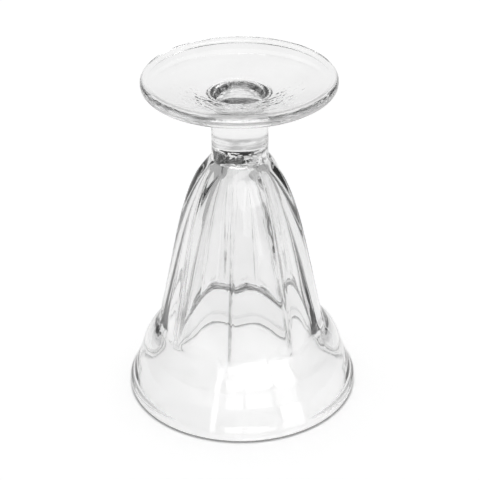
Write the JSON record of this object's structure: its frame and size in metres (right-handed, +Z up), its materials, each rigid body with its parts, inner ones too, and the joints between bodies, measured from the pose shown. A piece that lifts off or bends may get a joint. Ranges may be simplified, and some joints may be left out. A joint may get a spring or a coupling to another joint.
{
  "type": "footed sundae glass",
  "caption": "Clear pressed-glass sundae glass standing upside down: fluted bell bowl with a flared smooth rim, short solid stem and round dished foot.",
  "frame": {"origin": "centre of the mouth, on the plane the rim rests on", "axes": "+Z up along the axis of the glass, from the mouth to the foot; the glass is upside down, with its foot on top"},
  "size_m": [0.1006, 0.1006, 0.15],
  "materials": {
    "bowl_glass": "clear fire-polished pressed glass",
    "stem_glass": "clear solid glass, faint chill ripple at the joint with the bowl",
    "foot_glass": "clear pressed glass with a faint chill ripple in the dish"
  },
  "bodies": {
    "root": {"bowl": "bowl_glass", "stem": "stem_glass", "foot": "foot_glass"}
  },
  "joints": []
}
